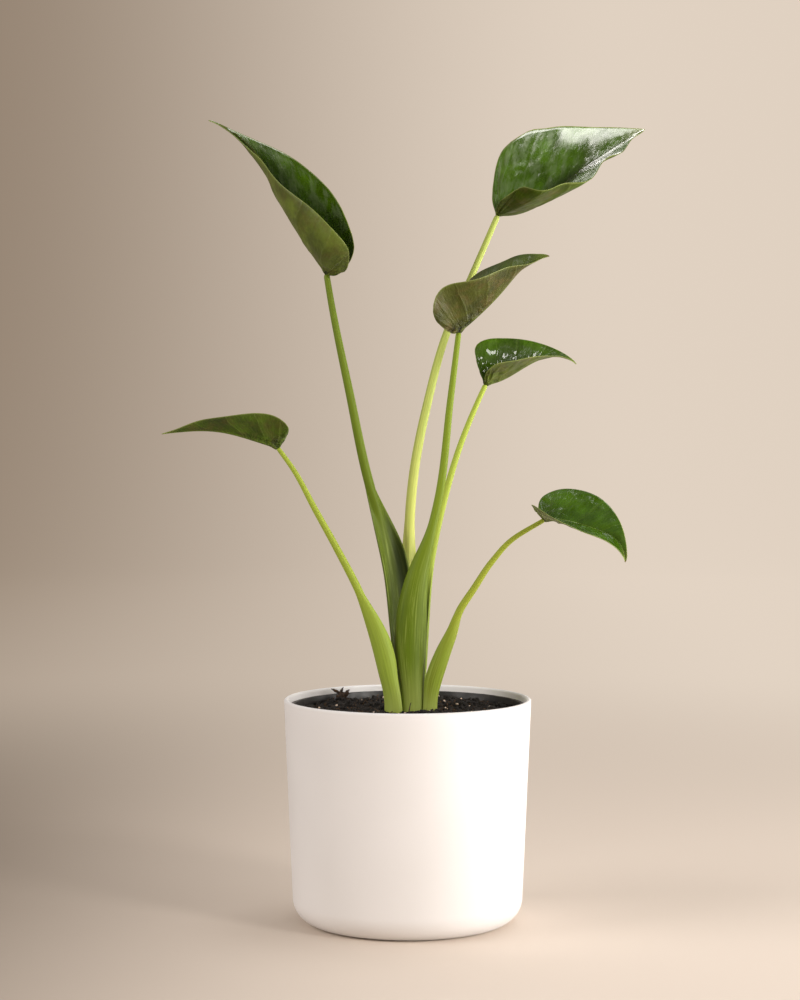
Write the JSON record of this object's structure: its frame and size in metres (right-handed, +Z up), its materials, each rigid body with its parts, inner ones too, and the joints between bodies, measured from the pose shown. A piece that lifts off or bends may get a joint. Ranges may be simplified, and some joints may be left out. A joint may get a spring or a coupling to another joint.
{
  "type": "potted alocasia",
  "caption": "Potted alocasia: folded heart-shaped leaves on long winged petioles, growing from soil in a nursery pot inside a round white cover pot.",
  "frame": {"origin": "centre of the cover pot's flat underside, on the surface that it stands on", "axes": "+Z up along the pot's axis and the plant's height, -Y towards the front, +X to the right as seen from the front"},
  "size_m": [0.2766, 0.14, 0.4581],
  "materials": {
    "cover_pot": "matte",
    "grower_pot": "satin",
    "soil": "rough",
    "blade": "glossy",
    "petiole_a": "satin",
    "petiole_b": "satin",
    "petiole_c": "satin",
    "petiole_d": "satin",
    "petiole_e": "satin",
    "petiole_f": "satin"
  },
  "bodies": {
    "root": {"cover_pot": "cover_pot", "grower_pot": "grower_pot", "soil": "soil", "petiole_a": "petiole_a", "petiole_b": "petiole_b", "petiole_c": "petiole_c", "petiole_d": "petiole_d", "petiole_e": "petiole_e", "petiole_f": "petiole_f", "blade_a": "blade", "blade_b": "blade", "blade_c": "blade", "blade_d": "blade", "blade_e": "blade", "blade_f": "blade"}
  },
  "joints": []
}
